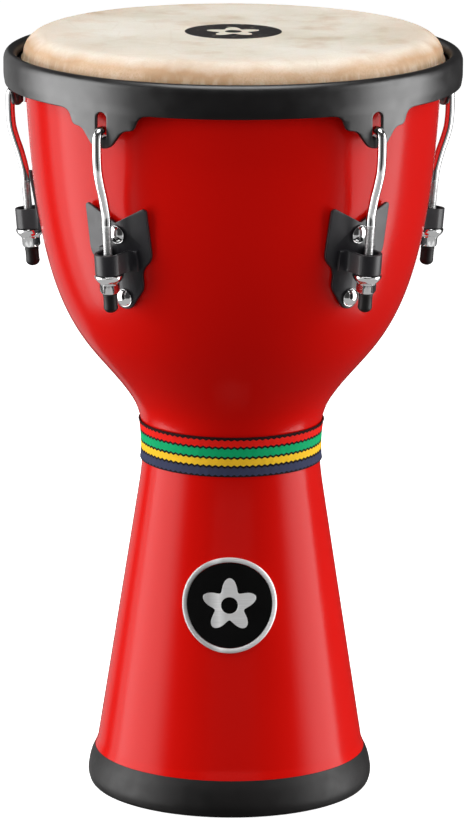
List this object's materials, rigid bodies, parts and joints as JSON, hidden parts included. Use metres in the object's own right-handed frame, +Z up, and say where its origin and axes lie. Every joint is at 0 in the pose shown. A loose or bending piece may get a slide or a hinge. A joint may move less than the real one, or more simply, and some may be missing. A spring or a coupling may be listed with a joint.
{
  "type": "djembe",
  "caption": "Mechanically tuned hand drum: a goblet-shaped shell with a skin head, a slotted tension rim, tuning hooks on steel brackets and a rubber foot ring.",
  "frame": {"origin": "on the floor, below the centre of the drum", "axes": "+Z up the drum's axis to the head; -Y to the front, where the badge is; +X to the right of someone facing the badge"},
  "size_m": [0.2856, 0.2917, 0.483],
  "materials": {
    "shell_red": "glossy red synthetic shell",
    "skin": "natural translucent goat skin, matt",
    "black_steel": "satin black powder coat",
    "chrome": "polished chrome plate",
    "plain_steel": "zinc-plated steel",
    "black_rubber": "matt black rubber",
    "woven_band": "woven ribbon with red, green, yellow and navy stripes",
    "badge_black": "gloss black enamel"
  },
  "bodies": {
    "shell": {"bowl": "shell_red", "stem": "shell_red", "foot_ring": "black_rubber", "waist_band": "woven_band", "badge_plate": "badge_black", "badge_bezel": "chrome", "head_skin": "skin", "lug_bracket_1": "black_steel", "lug_screw_upper_1": "chrome", "lug_screw_lower_1": "chrome", "screw_nut_upper_1": "plain_steel", "screw_nut_lower_1": "plain_steel", "lug_bracket_2": "black_steel", "lug_screw_upper_2": "chrome", "lug_screw_lower_2": "chrome", "screw_nut_upper_2": "plain_steel", "screw_nut_lower_2": "plain_steel", "lug_bracket_3": "black_steel", "lug_screw_upper_3": "chrome", "lug_screw_lower_3": "chrome", "screw_nut_upper_3": "plain_steel", "screw_nut_lower_3": "plain_steel", "lug_bracket_4": "black_steel", "lug_screw_upper_4": "chrome", "lug_screw_lower_4": "chrome", "screw_nut_upper_4": "plain_steel", "screw_nut_lower_4": "plain_steel", "lug_bracket_5": "black_steel", "lug_screw_upper_5": "chrome", "lug_screw_lower_5": "chrome", "screw_nut_upper_5": "plain_steel", "screw_nut_lower_5": "plain_steel"},
    "rim": {"tension_rim": "black_steel", "flesh_hoop": "plain_steel"},
    "hook_1": {"hook_1": "chrome", "thread_cap_1": "black_rubber"},
    "tuning_nut_1": {"tuning_nut_1": "chrome"},
    "hook_2": {"hook_2": "chrome", "thread_cap_2": "black_rubber"},
    "tuning_nut_2": {"tuning_nut_2": "chrome"},
    "hook_3": {"hook_3": "chrome", "thread_cap_3": "black_rubber"},
    "tuning_nut_3": {"tuning_nut_3": "chrome"},
    "hook_4": {"hook_4": "chrome", "thread_cap_4": "black_rubber"},
    "tuning_nut_4": {"tuning_nut_4": "chrome"},
    "hook_5": {"hook_5": "chrome", "thread_cap_5": "black_rubber"},
    "tuning_nut_5": {"tuning_nut_5": "chrome"}
  },
  "joints": [
    {"name": "rim_slide", "type": "slide", "parent": "shell", "child": "rim", "axis": [0, 0, 1], "range_m": [-0.00498, 0]},
    {"name": "hook_1_slide", "type": "slide", "parent": "shell", "child": "hook_1", "axis": [0.0533, -0.0733, 0.9959], "range_m": [-0.005, 0]},
    {"name": "tuning_nut_1_spin", "type": "hinge", "parent": "shell", "child": "tuning_nut_1", "pos_m": [0.07833, -0.10781, 0.3515], "axis": [0.0533, -0.0733, 0.9959], "range_deg": [0, 1800]},
    {"name": "hook_2_slide", "type": "slide", "parent": "shell", "child": "hook_2", "axis": [0.0862, 0.028, 0.9959], "range_m": [-0.005, 0]},
    {"name": "tuning_nut_2_spin", "type": "hinge", "parent": "shell", "child": "tuning_nut_2", "pos_m": [0.12674, 0.04118, 0.3515], "axis": [0.0862, 0.028, 0.9959], "range_deg": [0, 1800]},
    {"name": "hook_3_slide", "type": "slide", "parent": "shell", "child": "hook_3", "axis": [0, 0.0906, 0.9959], "range_m": [-0.005, 0]},
    {"name": "tuning_nut_3_spin", "type": "hinge", "parent": "shell", "child": "tuning_nut_3", "pos_m": [0, 0.13326, 0.3515], "axis": [0, 0.0906, 0.9959], "range_deg": [0, 1800]},
    {"name": "hook_4_slide", "type": "slide", "parent": "shell", "child": "hook_4", "axis": [-0.0862, 0.028, 0.9959], "range_m": [-0.005, 0]},
    {"name": "tuning_nut_4_spin", "type": "hinge", "parent": "shell", "child": "tuning_nut_4", "pos_m": [-0.12674, 0.04118, 0.3515], "axis": [-0.0862, 0.028, 0.9959], "range_deg": [0, 1800]},
    {"name": "hook_5_slide", "type": "slide", "parent": "shell", "child": "hook_5", "axis": [-0.0533, -0.0733, 0.9959], "range_m": [-0.005, 0]},
    {"name": "tuning_nut_5_spin", "type": "hinge", "parent": "shell", "child": "tuning_nut_5", "pos_m": [-0.07833, -0.10781, 0.3515], "axis": [-0.0533, -0.0733, 0.9959], "range_deg": [0, 1800]}
  ],
  "couplings": [
    {"joint": "hook_1_slide", "follows": "rim_slide", "ratio": 1.0041},
    {"joint": "tuning_nut_1_spin", "follows": "rim_slide", "rad_per_m": -6309.2},
    {"joint": "hook_2_slide", "follows": "rim_slide", "ratio": 1.0041},
    {"joint": "tuning_nut_2_spin", "follows": "rim_slide", "rad_per_m": -6309.2},
    {"joint": "hook_3_slide", "follows": "rim_slide", "ratio": 1.0041},
    {"joint": "tuning_nut_3_spin", "follows": "rim_slide", "rad_per_m": -6309.2},
    {"joint": "hook_4_slide", "follows": "rim_slide", "ratio": 1.0041},
    {"joint": "tuning_nut_4_spin", "follows": "rim_slide", "rad_per_m": -6309.2},
    {"joint": "hook_5_slide", "follows": "rim_slide", "ratio": 1.0041},
    {"joint": "tuning_nut_5_spin", "follows": "rim_slide", "rad_per_m": -6309.2}
  ]
}
